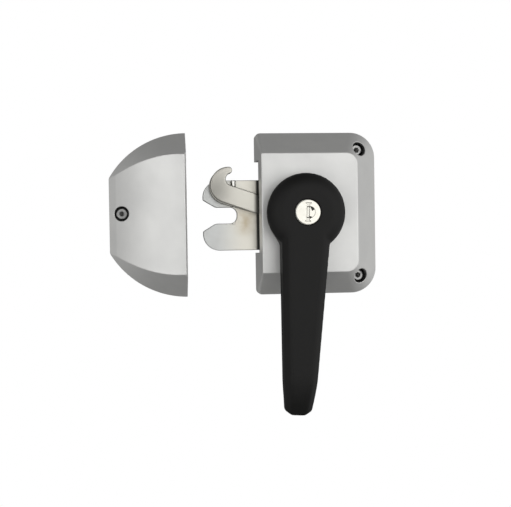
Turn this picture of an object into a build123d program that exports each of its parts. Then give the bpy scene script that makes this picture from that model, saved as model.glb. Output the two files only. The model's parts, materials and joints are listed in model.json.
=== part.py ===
from build123d import *

import os
from math import acos, atan, cos, degrees, hypot, radians, sin, sqrt, tan

os.makedirs("parts", exist_ok=True)

# Sizes are in millimetres. X runs along the wall, Z is up, and -Y points at whoever uses the latch.
# The origin is on the spindle's axis at the mounting face, and a height is a distance in front of it.

# Lock case
case_left = 34.0
case_right = 62.0
case_half_height = 64.0
case_rim = 9.0
case_bevel = 18.0
case_side_bevel = 19.3
case_draft = 2.0
case_corner = 20.0
case_front_corner = 9.0
case_left_corner = 4.0
case_front_left_corner = 1.0
case_wall = 3.0
case_edge_round = 0.8

# Base plate inside the case, and the door screws' holes in it
base_thickness = 3.0
base_play = 0.2
mount_hole_radius = 3.25
mount_left_inset = 12.0
mount_right_inset = 36.0
mount_end_inset = 12.0

# Socket screws that hold the case to its base, deep in counterbores
cover_screw_side_inset = 15.4
cover_screw_end_inset = 14.25
counterbore_radius = 5.85
counterbore_floor = 8.0
column_wall = 2.2
post_height = 5.0
post_radius = 5.5
screw_radius = 2.5
screw_tip = 2.0
screw_head_radius = 4.25
screw_head_height = 5.0
screw_head_round = 0.5
screw_socket_radius = 2.3
screw_socket_depth = 2.6
screw_play = 0.25
static_fit = 0.02

# Opening in the case's left wall, through which the fork and the hook reach out
opening_over_hook = 4.7
opening_under_fork = 2.5
opening_past_hook = 2.0

# Fork plate and its countersunk screws
fork_reach = 76.2
fork_boss_gap = 2.0
fork_half_width = 27.5
fork_middle = -0.9
fork_thickness = 6.0
fork_rear = 7.5
fork_corner = 13.0
fork_edge_round = 0.35
slot_half_width = 6.3
slot_end = 49.4
slot_end_corner = 5.6
slot_flare_start = 66.3
slot_flare_corner = 6.0
slot_flare = 6.0
slot_lip_round = 1.8
fork_screw_radius = 2.0
fork_screw_head = 3.6
fork_screw_tip = 1.5
fork_screw_socket = 1.4
fork_screw_edge = 4.2
fork_screw_outer_z = 21.0
fork_screw_inner_z = 8.0

# Hook of two riveted plates, drawn in its rest place as seen from the front
hook_gap = 0.5
hook_plate = 4.0
hook_hub_radius = 15.0
hook_seat_centre = (-53.6, 27.2)
hook_seat_radius = 4.8
hook_nose_centre = (-56.3, 22.7)
hook_nose_radius = 14.2
hook_tip_centre = (-56.0, 34.2)
hook_tip_radius = 2.7
hook_nose_end = 95.0
hook_tip_start = 98.0
hook_tip_end = 282.0
hook_seat_start = 122.0
hook_upper_slope = 18.9
hook_lower_slope = 19.3
hook_step = 1.2
hook_step_way = 232.0
hook_rear_slope = 16.4
hook_edge_round = 0.8
hook_square = 13.0
rivet_radius = 2.0
rivet_grip = 2.6
rivet_spots = ((-27.0, 7.5), (-43.0, 12.5))

# Upright stop for the hook, in a groove of the fork plate, and the rubber bumper on its pin
stop_x = -52.2
stop_radius = 2.0
stop_sunk = 0.7
stop_play = 0.1
stop_chamfer = 0.3
pin_seat = 3.0
buffer_along = 17.5
buffer_radius = 4.0
buffer_height = 7.3
buffer_pin_radius = 2.0
buffer_pin_head = 0.5
buffer_pin_head_radius = 3.0
soft_gap = 0.3

# Spindle and the bushes that it turns in
release_angle = 35.0
spindle_radius = 6.0
spindle_collar_radius = 9.0
spindle_start = 1.8
spindle_square = 8.0
spindle_end_gap = 0.1
bush_wall = 2.0
bush_flange_radius = 10.0
bush_flange = 1.0
running_fit = 0.05
rear_boss_radius = 12.0
rear_boss_height = 7.0
front_boss_radius = 14.0
front_boss_depth = 5.0
square_fit = 0.05
spacer_wall = 2.0

# Return spring round the spacer, with one leg on the hook's pin and one on a fixed post
spring_radius = 10.4
spring_wire = 0.7
spring_turns = 3
spring_pitch = 1.9
spring_rise = 1.2
spring_head_gap = 1.1
spring_hook_leg = 14.0
spring_post_leg = 24.0
spring_leg_spare = 3.0
spring_post_radius = 2.5
spring_post_gap = 2.0

# Lever handle
handle_lean = 2.8
hub_radius = 29.9
hub_draft = 1.3
hub_gap = 1.2
hub_height = 22.8
hub_bevel = 11.4
hub_crown = 8.5
hub_dome = 1.6
grip_length = 154.6
grip_back_step = 1.8
grip_tip_thickness = 8.0
grip_fall_start = 120.6
grip_root = 25.0
grip_root_half = 18.1
grip_root_fillet = 7.0
grip_low = 128.6
grip_low_half = 12.6
grip_low_fillet = 30.0
grip_shoulder = 150.9
grip_shoulder_half = 10.4
grip_tip_half = 4.9
grip_facet = 4.6
grip_stub = 5.0

# Lock ring on the case, and the hub's groove round it
ring_inner = 20.0
ring_outer = 23.0
ring_over_bolt = 0.6
ring_play = 0.5
ring_notch_half_width = 4.6
ring_stud_radius = 1.5
ring_stud_depth = 1.5
ring_stud_count = 3

# Insert, washer and screw that hold the lever on the spindle
insert_radius = 14.0
insert_thickness = 3.8
glide_radius = 15.0
glide_play = 0.1
retainer_radius = 8.5
retainer_thickness = 1.0
retainer_play = 0.2
lever_screw_head_radius = 4.3
lever_screw_head = 2.8
lever_screw_length = 12.0
lever_screw_socket = 1.7
lever_screw_socket_depth = 1.5

# Locking bolt in the hub, driven by the key plug's cam
bolt_gap = 0.6
bolt_thickness = 2.8
bolt_half_width = 4.0
bolt_tip_gap = 1.1
bolt_tail = 8.2
bolt_tail_half_width = 7.0
bolt_shoulder = 3.5
bolt_travel = 3.5
bolt_play = 0.15
cam_gap = 0.2
cam_radius = 5.8
cam_thickness = 1.4
cam_pin_radius = 1.5
cam_pin_side_play = 0.4
cam_pin_play = 0.9

# Key cylinder, its plug and wafers
cylinder_radius = 9.4
cylinder_fit = 0.05
cylinder_gap = 0.5
cylinder_drop = 1.0
clip_inner = 8.7
clip_outer = 11.4
clip_step = 1.7
clip_thickness = 1.0
clip_play = 0.05
clip_gap_half_width = 6.5
plug_radius = 6.5
face_radius = 9.25
face_rise = 0.8
face_round = 0.4
keyway_half_width = 1.1
keyway_half_height = 6.7
keyway_foot_half_width = 2.1
keyway_foot = 0.9
keyway_depth = 0.7
key_slot_half_height = 4.2
key_slot_depth = 8.5
guard_radius = 4.3
guard_depth = 0.4
guard_wedge_depth = 1.0
guard_wedges = (((1.3, 4.2), (3.4, 3.7), (4.8, 2.3), (3.0, 1.0)), ((1.3, -3.0), (3.2, -3.6), (1.3, -5.0)))
wafer_count = 4
wafer_thickness = 0.9
wafer_pitch = 1.8
wafer_step = 1.2
wafer_half_width = 4.0
wafer_radius = 6.3
wafer_window_half_width = 1.3
wafer_window_half_height = 4.4
wafer_play = 0.1

# Strike
strike_right = -89.2
strike_left = -149.4
strike_arc_radius = 70.6
strike_arc_x = -88.3
strike_arc_drop = 6.0
strike_arc_middle = 120.0
strike_left_corner = 4.5
strike_rim = 7.5
strike_bevel = 18.7
strike_ridge = 1.3
strike_ridge_drop = 2.6
strike_crown = 3.6
strike_lip = 5.6
strike_lip_height = 12.9
strike_wall = 3.0
strike_base_play = 0.3
strike_edge_round = 0.8
strike_opening_over_hook = 3.4
strike_opening_under_fork = 5.5
strike_mount_left_inset = 21.4
strike_mount_right_inset = 10.8
strike_mount_end_inset = 28.6
strike_mount_radius = 2.75
strike_screw_inset = 10.0
strike_screw_rise = 1.5
strike_screw_floor = 7.0
strike_screw_tip = 1.0
strike_post_height = 5.0

# Guide pin with its roller, and the catch pin, both in the strike
closing_travel = 51.3
roller_radius = 6.0
roller_play = 0.1
guide_pin_radius = 4.0
guide_collar_radius = 5.5
guide_head_radius = 5.2
guide_head = 0.6
guide_tail_radius = 3.0
guide_tail_start = 0.5
slot_play = 0.3
catch_play = 0.5
catch_pin_gap = 0.2
catch_pin_seat = 5.0
catch_boss_wall = 3.0
catch_boss_gap = 2.0

# Heights that stack up from the mounting face
fork_front = fork_rear + fork_thickness
hook_rear = fork_front + hook_gap
hook_middle = hook_rear + hook_plate
hook_front = hook_middle + hook_plate
opening_height = hook_front + opening_past_hook
spring_low = hook_front + spring_rise
spring_high = spring_low + spring_turns * spring_pitch
front_bush_start = spring_high + spring_head_gap
front_boss_start = front_bush_start + bush_flange
case_depth = front_boss_start + front_boss_depth
spring_post_end = case_depth - case_wall - spring_post_gap
hub_back = case_depth + hub_gap
hub_front = hub_back + hub_height
grip_back = hub_back + grip_back_step
grip_tip_front = grip_back + grip_tip_thickness
insert_front = hub_back + insert_thickness
lever_screw_seat = insert_front + retainer_thickness
lever_screw_end = lever_screw_seat - lever_screw_length
bolt_rear = lever_screw_seat + lever_screw_head + bolt_gap
bolt_front = bolt_rear + bolt_thickness
cam_rear = bolt_front + cam_gap
plug_rear = cam_rear + cam_thickness
cylinder_start = plug_rear + cylinder_gap
cylinder_end = hub_front - cylinder_drop
face_front = hub_front + face_rise
clip_start = cylinder_start + clip_step
wafer_start = cylinder_start + wafer_step
strike_depth = case_depth
catch_pin_start = hook_middle + catch_pin_gap
catch_boss_start = hook_front + catch_boss_gap

# Places and widths that follow from the sizes above
bush_bore = spindle_radius + running_fit
bush_outer = bush_bore + bush_wall
fork_inner_end = rear_boss_radius + fork_boss_gap
spacer_left = case_left - case_wall - base_play
fork_screw_outer = -spacer_left + fork_screw_edge
fork_screw_inner = -fork_inner_end - fork_screw_edge
fork_screw_spots = ((fork_screw_outer, fork_screw_outer_z), (fork_screw_outer, -fork_screw_outer_z),
                    (fork_screw_inner, fork_screw_inner_z), (fork_screw_inner, -fork_screw_inner_z))
cover_screw_x = case_right - cover_screw_side_inset
cover_screw_z = case_half_height - cover_screw_end_inset
cover_screw_spots = ((cover_screw_x, cover_screw_z), (cover_screw_x, -cover_screw_z))
mount_z = case_half_height - mount_end_inset
mount_spots = tuple((x, z) for x in (mount_left_inset - case_left, case_right - mount_right_inset)
                    for z in (-mount_z, mount_z))
hook_top = hook_tip_centre[1] + hook_tip_radius
opening_top = hook_top + opening_over_hook
fork_top = fork_middle + fork_half_width
fork_bottom = fork_middle - fork_half_width
opening_bottom = fork_bottom - opening_under_fork
bolt_tip = ring_inner - bolt_tip_gap
strike_mount_z = strike_arc_radius - strike_arc_drop - strike_mount_end_inset
strike_mount_spots = tuple((x, z) for x in (strike_left + strike_mount_left_inset,
                                            strike_right - strike_mount_right_inset)
                           for z in (-strike_mount_z, strike_mount_z))
strike_screw_spot = (strike_left + strike_screw_inset, strike_screw_rise)
strike_opening_top = hook_top + strike_opening_over_hook
strike_opening_bottom = fork_bottom - strike_opening_under_fork


def facing(height, lean=0.0):
    across = (cos(radians(lean)), 0, -sin(radians(lean)))
    return Plane(origin=(0, 0, 0), x_dir=across, z_dir=(0, -1, 0)).offset(height)


def facing_fork(height):
    return Plane(origin=(0, -height, fork_middle), x_dir=(1, 0, 0), z_dir=(0, -1, 0))


def side_on(lean=0.0):
    return Plane(origin=(0, 0, 0), x_dir=(0, -1, 0), z_dir=(-cos(radians(lean)), 0, sin(radians(lean))))


def from_above():
    return Plane(origin=(0, 0, 0), x_dir=(1, 0, 0), z_dir=(0, 0, -1))


def polar(centre, radius, angle):
    return (centre[0] + radius * cos(radians(angle)), centre[1] + radius * sin(radians(angle)))


def discs(height, spots, radius):
    with BuildSketch(facing(height)) as round_shapes:
        with Locations(*spots):
            Circle(radius)
    return round_shapes.sketch


def rods(height, radius, length, spots=((0, 0),)):
    extrude(discs(height, spots, radius), amount=length)


def drill(height, radius, length, spots=((0, 0),)):
    extrude(discs(height, spots, radius), amount=length, mode=Mode.SUBTRACT)


def case_outline(height, inset, left, right, half_height, left_corner, right_corner):
    with BuildSketch(facing(height)) as outline:
        with Locations(((right - left) / 2, 0)):
            Rectangle(left + right - 2 * inset, 2 * (half_height - inset))
        fillet(outline.vertices().group_by(Axis.X)[0], left_corner - inset)
        fillet(outline.vertices().group_by(Axis.X)[-1], right_corner - inset)
    return outline.sketch


def case_foot(height, inset):
    return case_outline(height, inset, case_left, case_right, case_half_height,
                        case_left_corner, case_corner)


def case_face(height, inset, left_corner):
    return case_outline(height, inset, case_left - case_draft, case_right - case_side_bevel,
                        case_half_height - case_bevel, left_corner, case_front_corner)


def strike_outline(height, inset, right):
    radius = strike_arc_radius - inset
    left = strike_left + inset
    upper_middle = polar((strike_arc_x, -strike_arc_drop), radius, strike_arc_middle)
    right_z = sqrt(radius**2 - (right - strike_arc_x) ** 2) - strike_arc_drop
    left_z = sqrt(radius**2 - (left - strike_arc_x) ** 2) - strike_arc_drop
    with BuildSketch(facing(height)) as outline:
        with BuildLine():
            ThreePointArc((right, right_z), upper_middle, (left, left_z))
            Line((left, left_z), (left, -left_z))
            ThreePointArc((left, -left_z), (upper_middle[0], -upper_middle[1]), (right, -right_z))
            Line((right, -right_z), (right, right_z))
        make_face()
        fillet(outline.vertices().group_by(Axis.X)[0], strike_left_corner)
    return outline.sketch


def strike_section(inset):
    right = strike_right - inset
    ridge = (right - strike_ridge, strike_depth - inset)
    lip = (strike_left + strike_lip, strike_lip_height - inset)
    slope = atan((ridge[1] - lip[1]) / (ridge[0] - lip[0]))
    middle = ((ridge[0] + lip[0]) / 2 - strike_crown * sin(slope),
              (ridge[1] + lip[1]) / 2 + strike_crown * cos(slope))
    with BuildSketch(from_above()) as section:
        with BuildLine():
            Polyline((strike_left, 0), (right, 0), (right, strike_depth - inset - strike_ridge_drop), ridge)
            ThreePointArc(ridge, middle, lip)
            Polyline(lip, (strike_left, strike_rim - inset), (strike_left, 0))
        make_face()
    return section.sketch


def arc_about(centre, radius, start, end):
    ThreePointArc(polar(centre, radius, start), polar(centre, radius, (start + end) / 2),
                  polar(centre, radius, end))


# Nose, tip and seat are three arcs, and two slanted lines run back from them to the hub
def hook_outline(height, step, lower_slope):
    nose = polar(hook_nose_centre, step, hook_step_way)
    nose_start = 270 - lower_slope
    seat_end = 270 - hook_upper_slope
    under = polar(nose, hook_nose_radius, nose_start)
    over = polar(hook_seat_centre, hook_seat_radius, seat_end)
    root = -hook_hub_radius / 2
    root_low = (root, under[1] - (root - under[0]) * tan(radians(lower_slope)))
    root_high = (root, over[1] - (root - over[0]) * tan(radians(hook_upper_slope)))
    with BuildSketch(facing(height)) as outline:
        with BuildLine():
            Line(root_low, under)
            arc_about(nose, hook_nose_radius, nose_start, hook_nose_end)
            Line(polar(nose, hook_nose_radius, hook_nose_end),
                 polar(hook_tip_centre, hook_tip_radius, hook_tip_start))
            arc_about(hook_tip_centre, hook_tip_radius, hook_tip_start, hook_tip_end - 360)
            Line(polar(hook_tip_centre, hook_tip_radius, hook_tip_end),
                 polar(hook_seat_centre, hook_seat_radius, hook_seat_start))
            arc_about(hook_seat_centre, hook_seat_radius, hook_seat_start, seat_end)
            Polyline(over, root_high, root_low)
        make_face()
        Circle(hook_hub_radius)
    return outline.sketch


def square_hole(height, across_flats):
    with BuildSketch(facing(height, handle_lean)) as hole:
        Rectangle(across_flats, across_flats)
    return hole.sketch


def annulus(height, inner, outer):
    with BuildSketch(facing(height)) as ring:
        Circle(outer)
        Circle(inner, mode=Mode.SUBTRACT)
    return ring.sketch


def bolt_outline(height, play, lift):
    with BuildSketch(facing(height, handle_lean)) as outline:
        with Locations((0, (bolt_tip + lift - bolt_tail) / 2)):
            Rectangle(2 * (bolt_half_width + play), bolt_tip + lift + bolt_tail + 2 * play)
        with Locations((0, (bolt_shoulder + lift - bolt_tail) / 2)):
            Rectangle(2 * (bolt_tail_half_width + play), bolt_shoulder + lift + bolt_tail + 2 * play)
    return outline.sketch


# Where the spring's hook leg and post leg end, in the hook's own slope
def along_spring(distance, offset):
    slope = radians(hook_upper_slope)
    return (distance * cos(slope) + offset * sin(slope), -distance * sin(slope) + offset * cos(slope))


wire_side = -spring_radius + spring_wire + static_fit
spring_pin_spot = along_spring(-spring_hook_leg, wire_side + rivet_radius)
spring_post_spot = along_spring(spring_post_leg, wire_side + spring_post_radius)

# Hollow of the lock case, with its screw columns and the spindle's boss left standing
bevel_angle = atan(case_bevel / (case_depth - case_rim))
roof_inset = case_wall / cos(bevel_angle) - case_bevel * case_wall / (case_depth - case_rim)
column_radius = counterbore_radius + column_wall

with BuildPart() as case_hollow:
    extrude(case_foot(0, case_wall), amount=case_rim)
    loft([case_foot(case_rim, case_wall), case_face(case_depth - case_wall, roof_inset, case_left_corner)],
         ruled=True)
    drill(post_height, column_radius, case_depth, cover_screw_spots)
    drill(front_boss_start, front_boss_radius, case_depth)

# Lock case
opening_middle = (opening_top + opening_bottom) / 2

with BuildPart() as housing_cover:
    extrude(case_foot(0, 0), amount=case_rim)
    loft([case_foot(case_rim, 0), case_face(case_depth, 0, case_front_left_corner)], ruled=True)
    fillet(housing_cover.faces().sort_by(Axis.Y)[0].edges(), case_edge_round)
    add(case_hollow.part, mode=Mode.SUBTRACT)
    with BuildSketch(facing(0)):
        with Locations((-case_left, opening_middle)):
            Rectangle(4 * case_wall, opening_top - opening_bottom)
    extrude(amount=opening_height, mode=Mode.SUBTRACT)
    drill(counterbore_floor, counterbore_radius, case_depth, cover_screw_spots)
    drill(0, screw_radius + screw_play, case_depth, cover_screw_spots)
    drill(0, bush_outer + static_fit, case_depth)
    with BuildSketch(facing(case_depth - ring_stud_depth)):
        with PolarLocations((ring_inner + ring_outer) / 2, ring_stud_count):
            Circle(ring_stud_radius + static_fit)
    extrude(amount=ring_stud_depth, mode=Mode.SUBTRACT)
housing_cover.part.label = "housing_cover"
export_step(housing_cover.part, "parts/housing_cover.step")

# Base plate with a boss for the rear bush and posts for the case's screws
with BuildPart() as base_plate:
    extrude(case_foot(0, case_wall + base_play), amount=base_thickness)
    rods(0, rear_boss_radius, rear_boss_height)
    rods(0, post_radius, post_height, cover_screw_spots)
    drill(spindle_start - bush_flange, bush_outer + static_fit, case_depth)
    drill(0, mount_hole_radius, base_thickness, mount_spots)
    drill(screw_tip, screw_radius + static_fit, post_height, cover_screw_spots)
    drill(fork_screw_tip, fork_screw_radius + static_fit, base_thickness, fork_screw_spots)
    drill(fork_screw_tip, spring_post_radius + static_fit, base_thickness, (spring_post_spot,))
base_plate.part.label = "base_plate"
export_step(base_plate.part, "parts/base_plate.step")

# Screws that hold the case, with hexagon sockets
with BuildPart() as cover_screws:
    rods(counterbore_floor, screw_head_radius, screw_head_height, cover_screw_spots)
    fillet(cover_screws.faces().group_by(Axis.Y)[0].edges(), screw_head_round)
    rods(screw_tip, screw_radius, counterbore_floor - screw_tip, cover_screw_spots)
    with BuildSketch(facing(counterbore_floor + screw_head_height - screw_socket_depth)):
        with Locations(*cover_screw_spots):
            RegularPolygon(screw_socket_radius, 6)
    extrude(amount=screw_socket_depth, mode=Mode.SUBTRACT)
cover_screws.part.label = "cover_screws"
export_step(cover_screws.part, "parts/cover_screws.step")

# Spacer under the fork plate
with BuildPart() as fork_spacer:
    with BuildSketch(facing(base_thickness)):
        with Locations((-(spacer_left + fork_inner_end) / 2, fork_middle)):
            Rectangle(spacer_left - fork_inner_end, 2 * fork_half_width)
        with Locations(*fork_screw_spots):
            Circle(fork_screw_radius + static_fit, mode=Mode.SUBTRACT)
    extrude(amount=fork_rear - base_thickness)
fork_spacer.part.label = "fork_spacer"
export_step(fork_spacer.part, "parts/fork_spacer.step")

# The stop's lower end lies along the hook's upper edge, and the bumper meets its lower edge once released
upper_slope = radians(hook_upper_slope)
seat_foot = polar(hook_seat_centre, hook_seat_radius, 270 - hook_upper_slope)
stop_foot = seat_foot[1] - (stop_x - seat_foot[0]) * tan(upper_slope) + stop_play / cos(upper_slope)
stop_height = fork_front + stop_radius - stop_sunk
lower_edge = polar(hook_nose_centre, hook_nose_radius, 270 - hook_lower_slope)
lower_slope = radians(hook_lower_slope)
released = lower_slope - radians(release_angle)
edge_distance = -lower_edge[0] * sin(lower_slope) - lower_edge[1] * cos(lower_slope)
buffer_drop = edge_distance + soft_gap + buffer_radius
buffer_spot = (-buffer_along * cos(released) - buffer_drop * sin(released),
               buffer_along * sin(released) - buffer_drop * cos(released))

flare_half_width = slot_half_width + slot_flare


def stop_plane():
    return Plane(origin=(stop_x, -stop_height, stop_foot - stop_radius), z_dir=(0, 0, 1))


# Fork plate, with its flared slot
def at_mouth_lips(corner):
    return abs(corner.X + fork_reach) < 0.01 and abs(corner.Y) < flare_half_width + 0.01


with BuildPart() as fork_plate:
    with BuildSketch(facing_fork(fork_rear)) as fork_outline:
        with Locations((-(fork_reach + fork_inner_end) / 2, 0)):
            Rectangle(fork_reach - fork_inner_end, 2 * fork_half_width)
        with BuildLine():
            Polyline((-fork_reach, flare_half_width), (-slot_flare_start, slot_half_width),
                     (-slot_end, slot_half_width), (-slot_end, -slot_half_width),
                     (-slot_flare_start, -slot_half_width), (-fork_reach, -flare_half_width),
                     close=True)
        make_face(mode=Mode.SUBTRACT)
        mouth = fork_outline.vertices().group_by(Axis.X)[0].sort_by(Axis.Y)
        fillet([mouth[0], mouth[-1]], fork_corner)
        fillet(fork_outline.vertices().filter_by(at_mouth_lips), slot_lip_round)
        fillet(fork_outline.vertices().filter_by(lambda corner: abs(corner.X + slot_flare_start) < 0.01),
               slot_flare_corner)
        fillet(fork_outline.vertices().filter_by(lambda corner: abs(corner.X + slot_end) < 0.01),
               slot_end_corner)
    extrude(amount=fork_thickness)
    front_edges = fork_plate.faces().sort_by(Axis.Y)[0].edges()
    chamfer(front_edges.filter_by(lambda edge: edge.center().X < -fork_inner_end - 0.01), fork_edge_round)
    with Locations(facing(fork_front)):
        with Locations(*fork_screw_spots):
            CounterSinkHole(fork_screw_radius + static_fit, fork_screw_head + static_fit,
                            counter_sink_angle=90)
    with Locations(stop_plane()):
        Cylinder(stop_radius + static_fit, 2 * fork_half_width, mode=Mode.SUBTRACT)
    drill(fork_front - pin_seat, buffer_pin_radius + static_fit, pin_seat, (buffer_spot,))
fork_plate.part.label = "fork_plate"
export_step(fork_plate.part, "parts/fork_plate.step")

# Countersunk screws through the fork plate and spacer into the base
with BuildPart() as fork_screws:
    rods(fork_screw_tip, fork_screw_radius, fork_front - fork_screw_tip, fork_screw_spots)
    head_depth = fork_screw_head - fork_screw_radius
    for spot in fork_screw_spots:
        loft([discs(fork_front - head_depth, (spot,), fork_screw_radius),
              discs(fork_front, (spot,), fork_screw_head)])
    with BuildSketch(facing(fork_front - head_depth)):
        with Locations(*fork_screw_spots):
            RegularPolygon(fork_screw_socket, 6)
    extrude(amount=head_depth, mode=Mode.SUBTRACT)
fork_screws.part.label = "fork_screws"
export_step(fork_screws.part, "parts/fork_screws.step")

# Round stop that the hook rises against, cut to the slope of the hook's upper edge
with BuildPart() as hook_stop:
    with BuildSketch(stop_plane()):
        Circle(stop_radius)
    extrude(amount=fork_top - stop_foot + stop_radius)
    with BuildSketch(facing(stop_height - stop_radius)):
        with BuildLine():
            Polyline((stop_x - stop_radius, stop_foot + stop_radius * tan(upper_slope)),
                     (stop_x + stop_radius, stop_foot - stop_radius * tan(upper_slope)),
                     (stop_x + stop_radius, fork_top), (stop_x - stop_radius, fork_top),
                     close=True)
        make_face()
    extrude(amount=2 * stop_radius, mode=Mode.INTERSECT)
    chamfer(hook_stop.faces().sort_by(Axis.Z)[-1].edges(), stop_chamfer)
hook_stop.part.label = "hook_stop"
export_step(hook_stop.part, "parts/hook_stop.step")

# Rubber bumper for the released hook, on its own pin
with BuildPart() as buffer_pin:
    rods(fork_front - pin_seat, buffer_pin_radius, pin_seat + buffer_height, (buffer_spot,))
    rods(fork_front + buffer_height, buffer_pin_head_radius, buffer_pin_head, (buffer_spot,))
buffer_pin.part.label = "buffer_pin"
export_step(buffer_pin.part, "parts/buffer_pin.step")

with BuildPart() as stop_buffer:
    rods(fork_front, buffer_radius, buffer_height, (buffer_spot,))
    drill(fork_front, buffer_pin_radius + static_fit, buffer_height, (buffer_spot,))
stop_buffer.part.label = "stop_buffer"
export_step(stop_buffer.part, "parts/stop_buffer.step")

# Bushes in the base's boss and the case's boss
with BuildPart() as spindle_bush_rear:
    rear_bush_start = spindle_start - bush_flange
    extrude(annulus(rear_bush_start, bush_bore, bush_outer), amount=rear_boss_height - rear_bush_start)
    extrude(annulus(rear_boss_height, bush_bore, bush_flange_radius), amount=bush_flange)
spindle_bush_rear.part.label = "spindle_bush_rear"
export_step(spindle_bush_rear.part, "parts/spindle_bush_rear.step")

with BuildPart() as spindle_bush_front:
    extrude(annulus(front_bush_start, bush_bore, bush_outer), amount=case_depth - front_bush_start)
    extrude(annulus(front_bush_start, bush_bore, bush_flange_radius), amount=bush_flange)
spindle_bush_front.part.label = "spindle_bush_front"
export_step(spindle_bush_front.part, "parts/spindle_bush_front.step")

# Spindle, with a square for the hook and a square for the lever
collar_start = rear_boss_height + bush_flange + running_fit

with BuildPart() as spindle:
    rods(spindle_start, spindle_radius, case_depth + running_fit - spindle_start)
    rods(collar_start, spindle_collar_radius, hook_rear - collar_start)
    extrude(square_hole(hook_rear, hook_square), amount=hook_front - hook_rear)
    extrude(square_hole(case_depth, spindle_square), amount=insert_front - spindle_end_gap - case_depth)
    drill(lever_screw_end, screw_radius + static_fit, case_depth)
spindle.part.label = "spindle"
export_step(spindle.part, "parts/spindle.step")

# Hook plates, rear and front, with the rivets' holes blind in the front one
with BuildPart() as hook_rear_plate:
    extrude(hook_outline(hook_rear, hook_step, hook_rear_slope), amount=hook_plate)
    drill(hook_rear, rivet_radius + static_fit, hook_plate, (*rivet_spots, spring_pin_spot))
    extrude(square_hole(hook_rear, hook_square + 2 * square_fit), amount=hook_plate, mode=Mode.SUBTRACT)
hook_rear_plate.part.label = "hook_rear_plate"
export_step(hook_rear_plate.part, "parts/hook_rear_plate.step")

with BuildPart() as hook_front_plate:
    extrude(hook_outline(hook_middle, 0, hook_lower_slope), amount=hook_plate)
    fillet(hook_front_plate.faces().sort_by(Axis.Y)[0].edges(), hook_edge_round)
    drill(hook_middle, rivet_radius + static_fit, rivet_grip, rivet_spots)
    drill(hook_middle, rivet_radius + static_fit, hook_plate, (spring_pin_spot,))
    extrude(square_hole(hook_middle, hook_square + 2 * square_fit), amount=hook_plate, mode=Mode.SUBTRACT)
hook_front_plate.part.label = "hook_front_plate"
export_step(hook_front_plate.part, "parts/hook_front_plate.step")

# Rivets that join the hook's plates, the longest of which carries the spring's leg
with BuildPart() as hook_rivets:
    rods(hook_rear, rivet_radius, hook_plate + rivet_grip, rivet_spots)
    rods(hook_rear, rivet_radius, spring_low + 2 * spring_wire - hook_rear, (spring_pin_spot,))
hook_rivets.part.label = "hook_rivets"
export_step(hook_rivets.part, "parts/hook_rivets.step")

# Spacer tube between the hook and the front bush
with BuildPart() as hook_spacer:
    extrude(annulus(hook_front, bush_bore, bush_bore + spacer_wall),
            amount=front_bush_start - running_fit - hook_front)
hook_spacer.part.label = "hook_spacer"
export_step(hook_spacer.part, "parts/hook_spacer.step")

# Return spring, wound in half turns that each climb half a pitch
climb = spring_pitch / 4

with BuildPart() as return_spring:
    with BuildLine(facing(0, hook_upper_slope)) as coil:
        Line((-spring_hook_leg - spring_leg_spare, -spring_radius, spring_low),
             (0, -spring_radius, spring_low))
        for turn in range(spring_turns):
            low = spring_low + turn * spring_pitch
            ThreePointArc((0, -spring_radius, low), (spring_radius, 0, low + climb),
                          (0, spring_radius, low + 2 * climb))
            ThreePointArc((0, spring_radius, low + 2 * climb), (-spring_radius, 0, low + 3 * climb),
                          (0, -spring_radius, low + 4 * climb))
        Line((0, -spring_radius, spring_high),
             (spring_post_leg + spring_leg_spare, -spring_radius, spring_high))
    with BuildSketch(Plane(origin=coil.line @ 0, z_dir=coil.line % 0)):
        Circle(spring_wire)
    sweep()
return_spring.part.label = "return_spring"
export_step(return_spring.part, "parts/return_spring.step")

with BuildPart() as spring_post:
    rods(fork_screw_tip, spring_post_radius, spring_post_end - fork_screw_tip, (spring_post_spot,))
spring_post.part.label = "spring_post"
export_step(spring_post.part, "parts/spring_post.step")

# Lock ring, notched where the bolt goes with the lever at rest and released
ring_front = bolt_front + ring_over_bolt

with BuildPart() as lock_ring:
    extrude(annulus(case_depth, ring_inner, ring_outer), amount=ring_front - case_depth)
    for lean in (handle_lean, handle_lean - release_angle):
        with BuildSketch(facing(bolt_rear - ring_play, lean)):
            with Locations((0, (ring_inner + ring_outer) / 2)):
                Rectangle(2 * ring_notch_half_width, 2 * (ring_outer - ring_inner))
        extrude(amount=ring_front - bolt_rear + ring_play, mode=Mode.SUBTRACT)
    with BuildSketch(facing(case_depth - ring_stud_depth)):
        with PolarLocations((ring_inner + ring_outer) / 2, ring_stud_count):
            Circle(ring_stud_radius)
    extrude(amount=ring_stud_depth)
lock_ring.part.label = "lock_ring"
export_step(lock_ring.part, "parts/lock_ring.step")

# Glide washer, insert, retaining washer and screw of the lever
with BuildPart() as glide_washer:
    extrude(annulus(case_depth + glide_play, bush_bore + glide_play, glide_radius),
            amount=hub_back - case_depth - glide_play)
glide_washer.part.label = "glide_washer"
export_step(glide_washer.part, "parts/glide_washer.step")

with BuildPart() as handle_insert:
    with BuildSketch(facing(hub_back, handle_lean)):
        RegularPolygon(insert_radius, 6)
        Rectangle(spindle_square + 2 * square_fit, spindle_square + 2 * square_fit, mode=Mode.SUBTRACT)
    extrude(amount=insert_front - hub_back)
handle_insert.part.label = "handle_insert"
export_step(handle_insert.part, "parts/handle_insert.step")

with BuildPart() as handle_washer:
    extrude(annulus(insert_front, screw_radius + screw_play, retainer_radius), amount=retainer_thickness)
handle_washer.part.label = "handle_washer"
export_step(handle_washer.part, "parts/handle_washer.step")

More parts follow.
